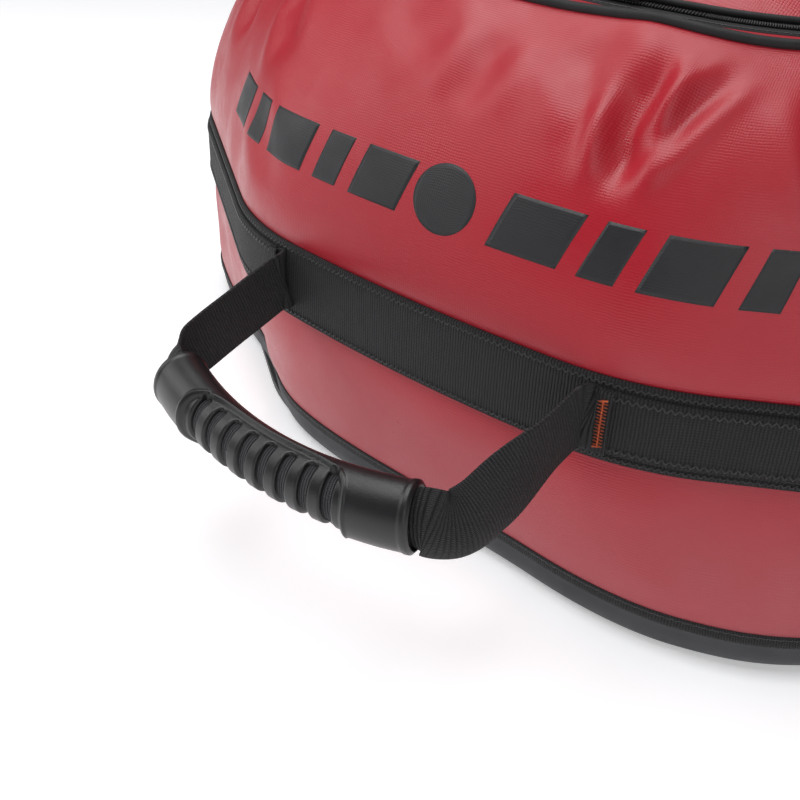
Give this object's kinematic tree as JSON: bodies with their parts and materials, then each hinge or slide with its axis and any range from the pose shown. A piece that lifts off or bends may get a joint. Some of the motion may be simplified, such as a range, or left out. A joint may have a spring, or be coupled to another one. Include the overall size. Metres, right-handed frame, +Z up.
{
  "type": "coated-fabric kit bag",
  "caption": "Soft kit bag of coated fabric with a flat base, a webbing band round the walls, moulded grips on the long sides and a zipped lid.",
  "frame": {"origin": "on the floor under the middle of the bag, at the bottom centre of its box", "axes": "+X along the bag's length, -Y towards the front grip, +Z up"},
  "size_m": [0.5824, 0.5292, 0.2622],
  "materials": {
    "red_fabric": "semi-gloss coated",
    "black_fabric": "semi-gloss coated",
    "webbing": "ribbed",
    "thread": "matte",
    "grip_plastic": "fine texture",
    "board_plastic": "matte",
    "zip_tape": "woven",
    "zip_coil": "satin",
    "slider_metal": "satin"
  },
  "bodies": {
    "bag": {"base_panel": "black_fabric", "base_board": "board_plastic", "base_binding": "webbing", "side_wall": "red_fabric", "upper_wall": "red_fabric", "wall_band": "webbing", "left_strap": "webbing", "right_strap": "webbing", "deck": "red_fabric", "lid_hinge_tape": "zip_tape", "outer_zip_tape": "zip_tape", "outer_zip_coil": "zip_coil", "front_handle_anchors": "webbing", "rear_handle_anchors": "webbing", "front_bartacks": "thread", "rear_bartacks": "thread"},
    "lid": {"lid_panel": "red_fabric", "inner_zip_tape": "zip_tape", "inner_zip_coil": "zip_coil"},
    "front_handle": {"front_grip": "grip_plastic", "front_handle_webbing": "webbing"},
    "rear_handle": {"rear_grip": "grip_plastic", "rear_handle_webbing": "webbing"},
    "left_slider": {"left_zip_slider": "slider_metal"},
    "right_slider": {"right_zip_slider": "slider_metal"},
    "left_pull": {"left_zip_pull": "slider_metal"},
    "right_pull": {"right_zip_pull": "slider_metal"}
  },
  "joints": [
    {"name": "lid_hinge", "type": "hinge", "parent": "bag", "child": "lid", "pos_m": [0, 0.0588, 0.24024], "axis": [-1, 0, 0], "range_deg": [0, 95]},
    {"name": "front_handle_swing", "type": "hinge", "parent": "bag", "child": "front_handle", "pos_m": [0, -0.17091, 0.099], "axis": [1, 0, 0], "range_deg": [-75, 30]},
    {"name": "rear_handle_swing", "type": "hinge", "parent": "bag", "child": "rear_handle", "pos_m": [0, 0.17091, 0.099], "axis": [-1, 0, 0], "range_deg": [-75, 30]},
    {"name": "right_slider_run", "type": "slide", "parent": "lid", "child": "right_slider", "axis": [1, 0, 0], "range_m": [0, 0.05]},
    {"name": "left_slider_run", "type": "slide", "parent": "lid", "child": "left_slider", "axis": [-1, 0, 0], "range_m": [0, 0.05]},
    {"name": "right_pull_flip", "type": "hinge", "parent": "right_slider", "child": "right_pull", "pos_m": [0.02, -0.08235, 0.24634], "axis": [0, -1, 0], "range_deg": [0, 120]},
    {"name": "left_pull_flip", "type": "hinge", "parent": "left_slider", "child": "left_pull", "pos_m": [-0.02, -0.08235, 0.24634], "axis": [0, 1, 0], "range_deg": [0, 120]}
  ]
}
